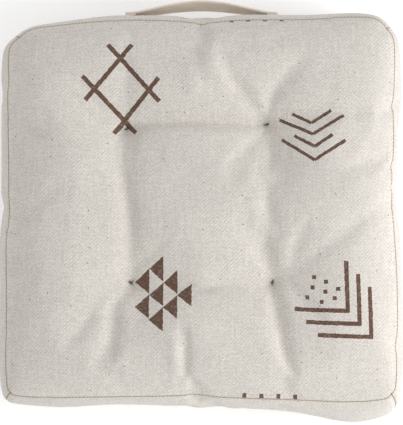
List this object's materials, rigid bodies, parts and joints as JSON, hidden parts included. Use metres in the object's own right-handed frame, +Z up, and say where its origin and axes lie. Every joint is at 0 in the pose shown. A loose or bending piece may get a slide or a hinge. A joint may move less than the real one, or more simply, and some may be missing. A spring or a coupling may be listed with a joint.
{
  "type": "floor cushion",
  "caption": "Square boxed floor cushion in printed cotton canvas, tufted through with twine, with a webbing carrying handle on one side.",
  "frame": {"origin": "centre of the bottom panel's flat face, where the cushion rests on the floor", "axes": "+Z up through the cushion's thickness, +Y towards the side that carries the handle, +X to the right when seen from above with the handle at the top"},
  "size_m": [0.45, 0.4606, 0.105],
  "materials": {
    "printed_canvas": "matte",
    "canvas": "matte",
    "webbing": "matte",
    "sewing_thread": "matte",
    "tufting_twine": "matte",
    "fibre_filling": "matte"
  },
  "bodies": {
    "cushion": {"top_panel": "printed_canvas", "bottom_panel": "canvas", "border_front": "canvas", "border_back": "canvas", "border_left": "canvas", "border_right": "canvas", "fibre_filling": "fibre_filling", "tuft_tie_front_left": "tufting_twine", "tuft_tie_front_right": "tufting_twine", "tuft_tie_back_left": "tufting_twine", "tuft_tie_back_right": "tufting_twine", "top_seam": "sewing_thread", "bottom_seam": "sewing_thread", "corner_seam_front_left": "sewing_thread", "corner_seam_front_right": "sewing_thread", "corner_seam_back_left": "sewing_thread", "corner_seam_back_right": "sewing_thread", "handle_end_left": "webbing", "handle_end_right": "webbing", "handle_tack_left": "sewing_thread", "handle_tack_right": "sewing_thread"},
    "handle": {"handle_strap": "webbing"}
  },
  "joints": [
    {"name": "handle_swing", "type": "hinge", "parent": "cushion", "child": "handle", "pos_m": [0, 0.2233, 0.046], "axis": [1, 0, 0], "range_deg": [-15, 70]}
  ]
}
